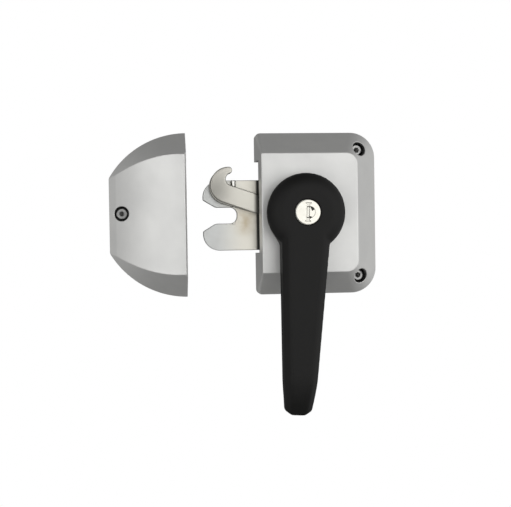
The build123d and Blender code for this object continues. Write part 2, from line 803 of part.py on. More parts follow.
with BuildPart() as handle_screw:
    rods(lever_screw_end, screw_radius, lever_screw_seat - lever_screw_end)
    rods(lever_screw_seat, lever_screw_head_radius, lever_screw_head)
    with BuildSketch(facing(lever_screw_seat + lever_screw_head - lever_screw_socket_depth)):
        RegularPolygon(lever_screw_socket, 6)
    extrude(amount=lever_screw_socket_depth, mode=Mode.SUBTRACT)
handle_screw.part.label = "handle_screw"
export_step(handle_screw.part, "parts/handle_screw.step")

# Locking bolt, with a window for the cam's pin
with BuildPart() as locking_bolt:
    extrude(bolt_outline(bolt_rear, 0, 0), amount=bolt_thickness)
    window_left = -bolt_travel - cam_pin_radius - cam_pin_side_play
    window_right = cam_pin_radius + cam_pin_side_play
    with BuildSketch(facing(bolt_rear, handle_lean)):
        with Locations(((window_left + window_right) / 2, -bolt_travel)):
            Rectangle(window_right - window_left, 2 * (cam_pin_radius + cam_pin_play))
    extrude(amount=bolt_thickness, mode=Mode.SUBTRACT)
locking_bolt.part.label = "locking_bolt"
export_step(locking_bolt.part, "parts/locking_bolt.step")

# Cam on the key plug's rear end
with BuildPart() as plug_cam:
    rods(cam_rear, cam_radius, cam_thickness)
    with BuildSketch(facing(bolt_rear + cam_gap, handle_lean)):
        with Locations((0, -bolt_travel)):
            Circle(cam_pin_radius)
    extrude(amount=cam_rear - bolt_rear - cam_gap)
plug_cam.part.label = "plug_cam"
export_step(plug_cam.part, "parts/plug_cam.step")

# Key cylinder's body, and the clip that holds it in the hub
with BuildPart() as cylinder_body:
    extrude(annulus(cylinder_start, plug_radius + cylinder_fit, cylinder_radius),
            amount=cylinder_end - cylinder_start)
    extrude(annulus(clip_start - clip_play, clip_inner - clip_play, clip_outer),
            amount=clip_thickness + 2 * clip_play, mode=Mode.SUBTRACT)
cylinder_body.part.label = "cylinder_body"
export_step(cylinder_body.part, "parts/cylinder_body.step")

with BuildPart() as cylinder_clip:
    with BuildSketch(facing(clip_start, handle_lean)):
        Circle(clip_outer)
        Circle(clip_inner, mode=Mode.SUBTRACT)
        with Locations((0, -clip_outer)):
            Rectangle(2 * clip_gap_half_width, 2 * clip_outer, mode=Mode.SUBTRACT)
    extrude(amount=clip_thickness)
cylinder_clip.part.label = "cylinder_clip"
export_step(cylinder_clip.part, "parts/cylinder_clip.step")

# Key plug, with its keyway, the guard beside it and the wafers' slots
face_rear = cylinder_end + cylinder_fit

with BuildPart() as cylinder_plug:
    rods(plug_rear, plug_radius, face_rear - plug_rear)
    rods(face_rear, face_radius, face_front - face_rear)
    fillet(cylinder_plug.faces().sort_by(Axis.Y)[0].edges(), face_round)
    with BuildSketch(facing(face_front - keyway_depth, handle_lean)):
        Rectangle(2 * keyway_half_width, 2 * keyway_half_height)
        with Locations((0, keyway_half_height), (0, -keyway_half_height)):
            Rectangle(2 * keyway_foot_half_width, keyway_foot)
    extrude(amount=keyway_depth, mode=Mode.SUBTRACT)
    with BuildSketch(facing(face_front - guard_depth, handle_lean)):
        with Locations((keyway_half_width, 0)):
            Circle(guard_radius)
        with Locations((-guard_radius, 0)):
            Rectangle(2 * guard_radius, 2 * guard_radius, mode=Mode.SUBTRACT)
    extrude(amount=guard_depth, mode=Mode.SUBTRACT)
    with BuildSketch(facing(face_front - guard_wedge_depth, handle_lean)):
        for wedge in guard_wedges:
            Polygon(*wedge, align=None)
    extrude(amount=guard_wedge_depth, mode=Mode.SUBTRACT)
    with BuildSketch(facing(face_front - key_slot_depth, handle_lean)):
        Rectangle(2 * keyway_half_width, 2 * key_slot_half_height)
    extrude(amount=key_slot_depth, mode=Mode.SUBTRACT)
    for wafer in range(wafer_count):
        with BuildSketch(facing(wafer_start + wafer * wafer_pitch - wafer_play, handle_lean)):
            Rectangle(2 * (wafer_half_width + wafer_play), 2 * plug_radius)
        extrude(amount=wafer_thickness + 2 * wafer_play, mode=Mode.SUBTRACT)
cylinder_plug.part.label = "cylinder_plug"
export_step(cylinder_plug.part, "parts/cylinder_plug.step")

with BuildPart() as wafers:
    for wafer in range(wafer_count):
        with BuildSketch(facing(wafer_start + wafer * wafer_pitch, handle_lean)):
            Circle(wafer_radius)
            Rectangle(2 * wafer_half_width, 2 * wafer_radius, mode=Mode.INTERSECT)
            Rectangle(2 * wafer_window_half_width, 2 * wafer_window_half_height, mode=Mode.SUBTRACT)
        extrude(amount=wafer_thickness)
wafers.part.label = "wafers"
export_step(wafers.part, "parts/wafers.step")

# Lever handle: a grip whose front falls away at its tip, on a domed hub with shoulders
hub_foot_radius = hub_radius - hub_draft
corner_reach = hypot(grip_root_half, grip_root)
corner_angle = degrees(atan(grip_root / grip_root_half))
tangent_angle = corner_angle - degrees(acos(hub_foot_radius / corner_reach))
shoulder_right = polar((0, 0), hub_foot_radius, -tangent_angle)
shoulder_left = (-shoulder_right[0], shoulder_right[1])
hub_side_top = hub_front - hub_crown
hub_disc_radius = hub_radius - hub_bevel
dome_middle = ((hub_radius + hub_disc_radius) / 2 + hub_dome, (hub_side_top + hub_front) / 2 + hub_dome)
stub_half = grip_root_half - grip_stub * (grip_root_half - grip_low_half) / (grip_low - grip_root)
channel_rear = bolt_rear - bolt_play
channel_front = bolt_front + bolt_play
lever_frame = facing(0, handle_lean)


def beside_the_middle(edge):
    middle = lever_frame.to_local_coords(edge.center())
    lowest = min(lever_frame.to_local_coords(corner.center()).Z for corner in edge.vertices())
    return abs(middle.X) > grip_tip_half and middle.Y > -grip_shoulder and lowest > grip_back


with BuildPart() as shoulders:
    with BuildSketch(facing(grip_back, handle_lean)) as shoulder_outline:
        Circle(hub_foot_radius)
        with BuildLine():
            Polyline(shoulder_left, (-grip_root_half, -grip_root), (-stub_half, -grip_root - grip_stub),
                     (stub_half, -grip_root - grip_stub), (grip_root_half, -grip_root), shoulder_right,
                     close=True)
        make_face()
        fillet(shoulder_outline.vertices().filter_by(lambda corner: abs(corner.Y + grip_root) < 0.01),
               grip_root_fillet)
    extrude(amount=hub_front - grip_back)
    front_edges = shoulders.faces().sort_by(Axis.Y)[0].edges()
    chamfer(front_edges.filter_by(lambda edge: lever_frame.to_local_coords(edge.center()).Y
                                  > -grip_root - grip_stub + 0.01), hub_bevel)

with BuildPart() as handle:
    with BuildSketch(facing(grip_back, handle_lean)) as grip_outline:
        with BuildLine():
            Polyline((-grip_root_half, 0), (-grip_root_half, -grip_root), (-grip_low_half, -grip_low),
                     (-grip_shoulder_half, -grip_shoulder), (-grip_tip_half, -grip_length),
                     (grip_tip_half, -grip_length), (grip_shoulder_half, -grip_shoulder),
                     (grip_low_half, -grip_low), (grip_root_half, -grip_root), (grip_root_half, 0),
                     close=True)
        make_face()
        fillet(grip_outline.vertices().filter_by(lambda corner: abs(corner.Y + grip_low) < 0.01),
               grip_low_fillet)
    extrude(amount=hub_front - grip_back)
    with BuildSketch(side_on(handle_lean)):
        with BuildLine():
            Polyline((grip_back, -grip_length), (grip_back, 0), (hub_front, 0),
                     (hub_front, -grip_fall_start))
            fall = TangentArc((hub_front, -grip_fall_start), (grip_tip_front, -grip_length),
                              tangent=(0, -1))
            Line(fall @ 1, (grip_back, -grip_length))
        make_face()
    extrude(amount=hub_radius, both=True, mode=Mode.INTERSECT)
    chamfer(handle.edges().filter_by(beside_the_middle), grip_facet)
    add(shoulders.part)
    with BuildSketch(from_above()):
        with BuildLine():
            Polyline((0, hub_front), (0, hub_back), (hub_foot_radius, hub_back), (hub_radius, hub_side_top))
            ThreePointArc((hub_radius, hub_side_top), dome_middle, (hub_disc_radius, hub_front))
            Line((hub_disc_radius, hub_front), (0, hub_front))
        make_face()
    revolve(axis=Axis.Y)
    with BuildSketch(facing(hub_back, handle_lean)):
        RegularPolygon(insert_radius + static_fit, 6)
    extrude(amount=insert_front - hub_back, mode=Mode.SUBTRACT)
    drill(insert_front, retainer_radius + retainer_play, channel_rear - insert_front)
    extrude(bolt_outline(channel_rear, bolt_play, bolt_travel), amount=channel_front - channel_rear,
            mode=Mode.SUBTRACT)
    drill(channel_front, cylinder_radius + cylinder_fit, hub_front)
    drill(clip_start - clip_play, clip_outer + clip_play, clip_thickness + 2 * clip_play)
    extrude(annulus(hub_back, ring_inner - ring_play, ring_outer + ring_play),
            amount=ring_front + ring_play - hub_back, mode=Mode.SUBTRACT)
handle.part.label = "handle"
export_step(handle.part, "parts/handle.step")

# Hollow of the strike's cover, with its screw column and the catch pin's boss left standing
strike_taper = strike_bevel / (strike_depth - strike_rim)
strike_roof = strike_depth - strike_wall
strike_roof_inset = (strike_wall / cos(atan(strike_taper))) + strike_taper * (strike_roof - strike_rim)
catch_pin_radius = hook_seat_radius - catch_play
catch_pin_end = catch_boss_start + catch_pin_seat
catch_spot = (hook_seat_centre[0] - closing_travel, hook_seat_centre[1])
guide_spot = (-slot_end - slot_play - roller_radius - closing_travel, fork_middle)
beyond = strike_arc_x

with BuildPart() as strike_hollow:
    extrude(strike_outline(0, strike_wall, beyond), amount=strike_rim)
    loft([strike_outline(strike_rim, strike_wall, beyond),
          strike_outline(strike_roof, strike_roof_inset, beyond)], ruled=True)
    extrude(strike_section(strike_wall), amount=strike_arc_radius, both=True, mode=Mode.INTERSECT)
    drill(strike_post_height, column_radius, strike_depth, (strike_screw_spot,))
    drill(catch_boss_start, catch_pin_radius + catch_boss_wall, strike_depth, (catch_spot,))

# Strike cover
strike_opening_middle = (strike_opening_top + strike_opening_bottom) / 2

with BuildPart() as strike_cover:
    extrude(strike_outline(0, 0, beyond), amount=strike_rim)
    loft([strike_outline(strike_rim, 0, beyond), strike_outline(strike_depth, strike_bevel, beyond)],
         ruled=True)
    extrude(strike_section(0), amount=strike_arc_radius, both=True, mode=Mode.INTERSECT)
    fillet(strike_cover.faces().sort_by(Axis.Y)[0].edges(), strike_edge_round)
    add(strike_hollow.part, mode=Mode.SUBTRACT)
    with BuildSketch(facing(0)):
        with Locations((strike_right, strike_opening_middle)):
            Rectangle(4 * strike_wall, strike_opening_top - strike_opening_bottom)
    extrude(amount=opening_height, mode=Mode.SUBTRACT)
    drill(strike_screw_floor, counterbore_radius, strike_depth, (strike_screw_spot,))
    drill(0, screw_radius + screw_play, strike_depth, (strike_screw_spot,))
    drill(0, catch_pin_radius + static_fit, catch_pin_end, (catch_spot,))
strike_cover.part.label = "strike_cover"
export_step(strike_cover.part, "parts/strike_cover.step")

# Strike base, with the frame screws' holes
with BuildPart() as strike_base:
    base_inset = strike_wall + strike_base_play
    extrude(strike_outline(0, base_inset, strike_right - base_inset), amount=base_thickness)
    rods(0, post_radius, strike_post_height, (strike_screw_spot,))
    drill(0, strike_mount_radius, base_thickness, strike_mount_spots)
    drill(strike_screw_tip, screw_radius + static_fit, strike_post_height, (strike_screw_spot,))
    drill(guide_tail_start, guide_tail_radius + static_fit, base_thickness, (guide_spot,))
strike_base.part.label = "strike_base"
export_step(strike_base.part, "parts/strike_base.step")

with BuildPart() as strike_cover_screw:
    rods(strike_screw_floor, screw_head_radius, screw_head_height, (strike_screw_spot,))
    fillet(strike_cover_screw.faces().group_by(Axis.Y)[0].edges(), screw_head_round)
    rods(strike_screw_tip, screw_radius, strike_screw_floor - strike_screw_tip, (strike_screw_spot,))
    with BuildSketch(facing(strike_screw_floor + screw_head_height - screw_socket_depth)):
        with Locations(strike_screw_spot):
            RegularPolygon(screw_socket_radius, 6)
    extrude(amount=screw_socket_depth, mode=Mode.SUBTRACT)
strike_cover_screw.part.label = "strike_cover_screw"
export_step(strike_cover_screw.part, "parts/strike_cover_screw.step")

# Guide pin with a collar under its roller and a head over it, no higher than the fork plate
guide_head_start = fork_front - guide_head
roller_start = fork_rear - roller_play

with BuildPart() as guide_pin:
    rods(guide_tail_start, guide_tail_radius, base_thickness, (guide_spot,))
    rods(base_thickness, guide_collar_radius, roller_start - base_thickness, (guide_spot,))
    rods(base_thickness, guide_pin_radius, guide_head_start - base_thickness, (guide_spot,))
    rods(guide_head_start, guide_head_radius, guide_head, (guide_spot,))
guide_pin.part.label = "guide_pin"
export_step(guide_pin.part, "parts/guide_pin.step")

with BuildPart() as guide_roller:
    rods(fork_rear, roller_radius, guide_head_start - roller_play - fork_rear, (guide_spot,))
    drill(fork_rear, guide_pin_radius + running_fit, fork_thickness, (guide_spot,))
guide_roller.part.label = "guide_roller"
export_step(guide_roller.part, "parts/guide_roller.step")

# Catch pin, set in the strike cover's boss, that the hook pulls on
with BuildPart() as catch_pin:
    rods(catch_pin_start, catch_pin_radius, catch_pin_end - catch_pin_start, (catch_spot,))
    chamfer(catch_pin.faces().sort_by(Axis.Y)[-1].edges(), screw_head_round)
catch_pin.part.label = "catch_pin"
export_step(catch_pin.part, "parts/catch_pin.step")
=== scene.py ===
import json
import math

import bmesh
import bpy
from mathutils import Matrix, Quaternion, Vector


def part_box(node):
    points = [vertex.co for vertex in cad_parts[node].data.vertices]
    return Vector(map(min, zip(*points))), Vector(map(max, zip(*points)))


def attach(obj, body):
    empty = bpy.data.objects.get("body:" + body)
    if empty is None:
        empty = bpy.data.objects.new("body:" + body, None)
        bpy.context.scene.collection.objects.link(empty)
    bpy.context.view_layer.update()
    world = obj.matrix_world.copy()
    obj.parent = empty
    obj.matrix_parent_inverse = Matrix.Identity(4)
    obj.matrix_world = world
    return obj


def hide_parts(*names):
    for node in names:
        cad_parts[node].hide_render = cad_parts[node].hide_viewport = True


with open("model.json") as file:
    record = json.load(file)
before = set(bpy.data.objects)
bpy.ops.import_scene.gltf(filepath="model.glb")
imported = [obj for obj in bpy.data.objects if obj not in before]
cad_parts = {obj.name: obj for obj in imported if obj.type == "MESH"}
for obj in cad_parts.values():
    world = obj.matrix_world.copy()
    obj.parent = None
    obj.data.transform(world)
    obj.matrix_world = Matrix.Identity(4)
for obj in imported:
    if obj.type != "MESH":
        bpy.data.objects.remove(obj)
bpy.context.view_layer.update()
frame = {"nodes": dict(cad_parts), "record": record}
nodes = frame["nodes"]
scene = bpy.context.scene
print("frame loaded,", len(nodes), "nodes")


# Small helpers for node trees and objects

def addNode(tree, kind, inputs=None, **settings):
    # another node's socket is joined to the input, and a plain value is set on it
    node = tree.nodes.new(kind)
    for name, value in settings.items():
        setattr(node, name, value)
    for name, value in (inputs or {}).items():
        if isinstance(value, bpy.types.NodeSocket):
            join(tree, value, node.inputs[name])
        else:
            node.inputs[name].default_value = value
    return node


def join(tree, source, target):
    tree.links.new(source, target)


def calc(tree, operation, first, second):
    return addNode(tree, "ShaderNodeMath", {0: first, 1: second}, operation=operation).outputs[0]


def ramp(tree, value, start, stop, low=0.0, high=1.0, kind="LINEAR"):
    return addNode(tree, "ShaderNodeMapRange", {"Value": value, "From Min": start, "From Max": stop,
                                                "To Min": low, "To Max": high},
                   interpolation_type=kind).outputs["Result"]


def addGroup(name, kind, inputs, outputs):
    group = bpy.data.node_groups.new(name, kind)
    for label, (socket, value) in inputs.items():
        made = group.interface.new_socket(label, in_out="INPUT", socket_type=socket)
        if value is not None:
            made.default_value = value
    for label, socket in outputs.items():
        group.interface.new_socket(label, in_out="OUTPUT", socket_type=socket)
    return group, group.nodes.new("NodeGroupInput"), group.nodes.new("NodeGroupOutput")


def addObject(name, data):
    made = bpy.data.objects.new(name, data)
    scene.collection.objects.link(made)
    return made


def applyModifiers(made):
    # leaves the plain mesh that the object's modifiers give
    plain = bpy.data.meshes.new_from_object(made.evaluated_get(bpy.context.evaluated_depsgraph_get()))
    made.modifiers.clear()
    made.data = plain
    plain.name = made.name


# Shared shader groups

grainLook = dict(grainDetail=2.0, patchDetail=3.0, roughness=0.55)


def makeGrainGroup(values):
    # fine grain for the bump, and slow patches for tone and roughness, both in object coordinates
    group, given, result = addGroup("surfaceGrain", "ShaderNodeTree", {
        "Grain Size": ("NodeSocketFloat", 0.0004),
        "Patch Size": ("NodeSocketFloat", 0.02),
        "Stretch": ("NodeSocketVector", (1.0, 1.0, 1.0)),
    }, {"Grain": "NodeSocketFloat", "Patch": "NodeSocketFloat"})
    place = addNode(group, "ShaderNodeTexCoord")
    stretched = addNode(group, "ShaderNodeVectorMath", {
        0: place.outputs["Object"], 1: given.outputs["Stretch"]}, operation="MULTIPLY")
    for label, source, detail in (("Grain", stretched.outputs[0], values["grainDetail"]),
                                  ("Patch", place.outputs["Object"], values["patchDetail"])):
        noise = addNode(group, "ShaderNodeTexNoise", {
            "Vector": source, "Scale": calc(group, "DIVIDE", 1.0, given.outputs[label + " Size"]),
            "Detail": detail, "Roughness": values["roughness"]})
        join(group, noise.outputs["Fac"], result.inputs[label])
    return group


edgeLook = dict(samples=8, breakScale=420.0, breakDetail=3.0, breakRange=(0.35, 0.65))


def makeEdgeGroup(values):
    # softened normals at the edges, and a broken mask along them for edge wear, painted edge highlights and
    # painted dark edges
    group, given, result = addGroup("edgeWearAndShading", "ShaderNodeTree", {
        "Radius": ("NodeSocketFloat", 0.0005),
        "Breakup": ("NodeSocketFloat", 0.5),
        "Starts At": ("NodeSocketFloat", 0.995),
        "Full At": ("NodeSocketFloat", 0.86),
    }, {"Normal": "NodeSocketVector", "Mask": "NodeSocketFloat"})
    soft = addNode(group, "ShaderNodeBevel", {"Radius": given.outputs["Radius"]}, samples=values["samples"])
    true = addNode(group, "ShaderNodeNewGeometry")
    alike = addNode(group, "ShaderNodeVectorMath", {0: soft.outputs["Normal"], 1: true.outputs["Normal"]},
                    operation="DOT_PRODUCT")
    edge = ramp(group, alike.outputs["Value"], given.outputs["Starts At"], given.outputs["Full At"])
    place = addNode(group, "ShaderNodeTexCoord")
    noise = addNode(group, "ShaderNodeTexNoise", {
        "Vector": place.outputs["Object"], "Scale": values["breakScale"], "Detail": values["breakDetail"]})
    broken = ramp(group, noise.outputs["Fac"], *values["breakRange"])
    kept = addNode(group, "ShaderNodeMix", {"Factor": given.outputs["Breakup"], "A": 1.0, "B": broken})
    join(group, soft.outputs["Normal"], result.inputs["Normal"])
    join(group, calc(group, "MULTIPLY", edge, kept.outputs["Result"]), result.inputs["Mask"])
    return group


recessLook = dict(samples=8)


def makeRecessGroup(values):
    # painted shade in a piece's own wells and hollows, darker where its own surfaces hide more around them
    group, given, result = addGroup("recessShade", "ShaderNodeTree", {
        "Reach": ("NodeSocketFloat", 0.02),
        "Open": ("NodeSocketFloat", 0.75),
        "Closed": ("NodeSocketFloat", 0.35),
    }, {"Mask": "NodeSocketFloat"})
    hidden = addNode(group, "ShaderNodeAmbientOcclusion", {"Distance": given.outputs["Reach"]},
                     samples=values["samples"], only_local=True)
    mask = ramp(group, hidden.outputs["AO"], given.outputs["Open"], given.outputs["Closed"])
    join(group, mask, result.inputs["Mask"])
    return group


stainAndShadeLook = dict(detail=4.0, roughness=0.6, blotchRange=(0.3, 0.62))


def makeStainAndShadeGroup(values):
    # a slow change along one direction of the piece, and a blotchy spot round one place
    group, given, result = addGroup("steelStainAndShade", "ShaderNodeTree", {
        "Direction": ("NodeSocketVector", (1.0, 0.0, 0.0)),
        "From": ("NodeSocketFloat", 0.0),
        "To": ("NodeSocketFloat", 1.0),
        "Spot": ("NodeSocketVector", (0.0, 0.0, 0.0)),
        "Spot Size": ("NodeSocketFloat", 0.01),
        "Blotch Size": ("NodeSocketFloat", 0.006),
    }, {"Along": "NodeSocketFloat", "Spot": "NodeSocketFloat"})
    place = addNode(group, "ShaderNodeTexCoord")
    reach = addNode(group, "ShaderNodeVectorMath", {0: place.outputs["Object"], 1: given.outputs["Direction"]},
                    operation="DOT_PRODUCT")
    along = ramp(group, reach.outputs["Value"], given.outputs["From"], given.outputs["To"], kind="SMOOTHSTEP")
    away = addNode(group, "ShaderNodeVectorMath", {0: place.outputs["Object"], 1: given.outputs["Spot"]},
                   operation="DISTANCE")
    share = calc(group, "DIVIDE", away.outputs["Value"], given.outputs["Spot Size"])
    near = ramp(group, share, 1.0, 0.0, kind="SMOOTHSTEP")
    blotch = addNode(group, "ShaderNodeTexNoise", {
        "Vector": place.outputs["Object"], "Scale": calc(group, "DIVIDE", 1.0, given.outputs["Blotch Size"]),
        "Detail": values["detail"], "Roughness": values["roughness"]})
    patchy = ramp(group, blotch.outputs["Fac"], *values["blotchRange"])
    join(group, along, result.inputs["Along"])
    join(group, calc(group, "MULTIPLY", near, patchy), result.inputs["Spot"])
    return group


grainGroup = makeGrainGroup(grainLook)
edgeGroup = makeEdgeGroup(edgeLook)
recessGroup = makeRecessGroup(recessLook)
stainAndShadeGroup = makeStainAndShadeGroup(stainAndShadeLook)


# Finishes: colours run from colour to shade in slow patches, then stains, edge wear with painted edge
# highlights and painted dark edges, and painted shade along one direction and in hollows lie over them

usualFinish = dict(specular=0.5, stretch=(1.0, 1.0, 1.0), spread=(0.35, 0.65), bumpDepth=0.0001,
                   edge=(0.995, 0.86), breakup=0.7)
finishes = {
    "satinCasting": dict(
        colour=(0.64, 0.64, 0.625), shade=(0.60, 0.60, 0.588), metallic=0.6, rough=(0.44, 0.54),
        grain=0.00035, patch=0.03, stretch=(1.0, 1.0, 0.35), bump=0.12,
        # painted highlight: the light edge colour brightens the cover's edges as if they caught the lamps
        radius=0.0010, wearAndEdgeShading=0.8, wearAndEdgeShadingColour=(0.93, 0.93, 0.91), edge=(0.94, 0.80),
        # painted shade: darker in the cover's own screw wells and inside it, where its own walls hide the
        # light
        recess=dict(reach=0.03, depth=(0.5, 0.2), colour=(0.22, 0.22, 0.215))),
    "stainlessPlate": dict(
        colour=(0.60, 0.585, 0.54), shade=(0.52, 0.515, 0.49), metallic=0.85, rough=(0.30, 0.42),
        grain=0.0003, patch=0.012, stretch=(0.2, 1.0, 1.0), bump=0.08,
        radius=0.0004, wearAndEdgeShading=0.3, wearAndEdgeShadingColour=(0.8, 0.79, 0.76)),
    "forkSteel": dict(
        colour=(0.50, 0.51, 0.50), shade=(0.46, 0.465, 0.455), metallic=0.85, rough=(0.30, 0.42),
        grain=0.0003, patch=0.012, stretch=(0.2, 1.0, 1.0), bump=0.08,
        radius=0.0006, wearAndEdgeShading=0.3, wearAndEdgeShadingColour=(0.34, 0.34, 0.33), edge=(0.97, 0.80),
        stainAndShade=dict(ends=(-0.068, -0.040), colour=(0.62, 0.60, 0.535), blotch=0.012,
                   spot=(-0.0435, -0.0135, -0.006), size=0.015, spotStainAndShadeColour=(0.46, 0.40, 0.30)),
        # painted shade where the fork runs in under the case wall
        paintedShade=dict(way=(1.0, 0.0, 0.0), ends=(-0.0348, -0.0334), colour=(0.05, 0.05, 0.045))),
    "hookSteel": dict(
        colour=(0.46, 0.445, 0.405), shade=(0.43, 0.42, 0.385), metallic=0.85, rough=(0.28, 0.40),
        grain=0.0003, patch=0.010, stretch=(0.2, 1.0, 1.0), bump=0.08,
        # painted shade: a near-black edge colour draws dark outlines along the hook plates' edges
        radius=0.0014, wearAndEdgeShading=0.95, wearAndEdgeShadingColour=(0.05, 0.045, 0.035), edge=(0.985, 0.86), breakup=0.2,
        # the hook's stain runs lighter and warmer towards the case; its dark spot is painted shade on the
        # hook's nose
        stainAndShade=dict(ends=(-0.066, -0.040), colour=(0.55, 0.535, 0.48), blotch=0.3,
                   spot=(-0.0675, -0.022, 0.0195), size=0.018, spotStainAndShadeColour=(0.14, 0.137, 0.12)),
        # painted shade where the hook runs in under the case wall
        paintedShade=dict(way=(1.0, 0.0, 0.0), ends=(-0.0376, -0.0340), colour=(0.03, 0.03, 0.026))),
    "screwSteel": dict(
        colour=(0.32, 0.32, 0.31), shade=(0.24, 0.24, 0.24), metallic=0.95, rough=(0.28, 0.42),
        grain=0.0002, patch=0.003, bump=0.10, radius=0.0002, wearAndEdgeShading=0.5, wearAndEdgeShadingColour=(0.72, 0.72, 0.70)),
    "zincSteel": dict(
        colour=(0.50, 0.51, 0.52), shade=(0.38, 0.39, 0.40), metallic=0.9, rough=(0.32, 0.52),
        grain=0.0005, patch=0.009, bump=0.15, radius=0.0003, wearAndEdgeShading=0.3, wearAndEdgeShadingColour=(0.68, 0.68, 0.67)),
    "slidingPlastic": dict(
        colour=(0.78, 0.76, 0.70), shade=(0.70, 0.68, 0.62), metallic=0.0, rough=(0.40, 0.52),
        grain=0.0003, patch=0.004, bump=0.10, radius=0.0002, wearAndEdgeShading=0.2, wearAndEdgeShadingColour=(0.85, 0.84, 0.80)),
    "bushBronze": dict(
        colour=(0.60, 0.42, 0.20), shade=(0.42, 0.29, 0.14), metallic=0.9, rough=(0.38, 0.55),
        grain=0.0002, patch=0.003, bump=0.30, radius=0.0002, wearAndEdgeShading=0.3, wearAndEdgeShadingColour=(0.75, 0.56, 0.30)),
    "springSteel": dict(
        colour=(0.26, 0.26, 0.27), shade=(0.18, 0.18, 0.19), metallic=0.95, rough=(0.25, 0.38),
        grain=0.0002, patch=0.004, bump=0.08, radius=0.0001, wearAndEdgeShading=0.3, wearAndEdgeShadingColour=(0.55, 0.55, 0.55)),
    "bumperRubber": dict(
        colour=(0.030, 0.030, 0.030), shade=(0.042, 0.042, 0.041), metallic=0.0, rough=(0.65, 0.85),
        grain=0.0004, patch=0.003, bump=0.35, radius=0.0003, wearAndEdgeShading=0.3, wearAndEdgeShadingColour=(0.06, 0.06, 0.06)),
    "mouldedBlack": dict(
        colour=(0.0056, 0.0056, 0.0052), shade=(0.0075, 0.0073, 0.007), metallic=0.0, rough=(0.53, 0.63),
        specular=0.19, grain=0.00045, patch=0.02, bump=0.22,
        radius=0.0004, wearAndEdgeShading=0.12, wearAndEdgeShadingColour=(0.05, 0.05, 0.05)),
    "brightNickel": dict(
        colour=(0.84, 0.83, 0.78), shade=(0.80, 0.79, 0.74), metallic=0.8, rough=(0.26, 0.34),
        grain=0.0002, patch=0.003, stretch=(1.0, 1.0, 0.3), bump=0.05,
        radius=0.0002, wearAndEdgeShading=0.1, wearAndEdgeShadingColour=(0.98, 0.97, 0.95)),
    "keyNickel": dict(
        colour=(0.66, 0.645, 0.585), shade=(0.63, 0.615, 0.555), metallic=0.8, rough=(0.26, 0.34),
        grain=0.0002, patch=0.003, stretch=(1.0, 1.0, 0.3), bump=0.05,
        # painted shade: a dark edge colour darkens the key's edges
        radius=0.0004, wearAndEdgeShading=0.8, wearAndEdgeShadingColour=(0.20, 0.195, 0.17), edge=(0.985, 0.85), breakup=0.3,
        # painted shade in the key slot, deeper than the key's front face
        paintedShade=dict(way=(0.0, 1.0, 0.0), ends=(-0.0602, -0.0598), colour=(0.03, 0.03, 0.026))),
    "stopSteel": dict(
        colour=(0.62, 0.61, 0.58), shade=(0.56, 0.555, 0.53), metallic=0.95, rough=(0.16, 0.24),
        grain=0.0003, patch=0.010, bump=0.05,
        # painted shade and painted dark reflection: a near-black edge colour darkens the stop's sides
        radius=0.0009, wearAndEdgeShading=0.95, wearAndEdgeShadingColour=(0.02, 0.02, 0.018), edge=(0.985, 0.88), breakup=0.1),
    "waferBrass": dict(
        colour=(0.66, 0.50, 0.22), shade=(0.50, 0.37, 0.15), metallic=0.95, rough=(0.28, 0.42),
        grain=0.0002, patch=0.002, bump=0.08, radius=0.0001, wearAndEdgeShading=0.3, wearAndEdgeShadingColour=(0.8, 0.66, 0.36)),
}
colourMix = dict(under=6, over=7, result=2)  # numbers of a Mix node's colour sockets


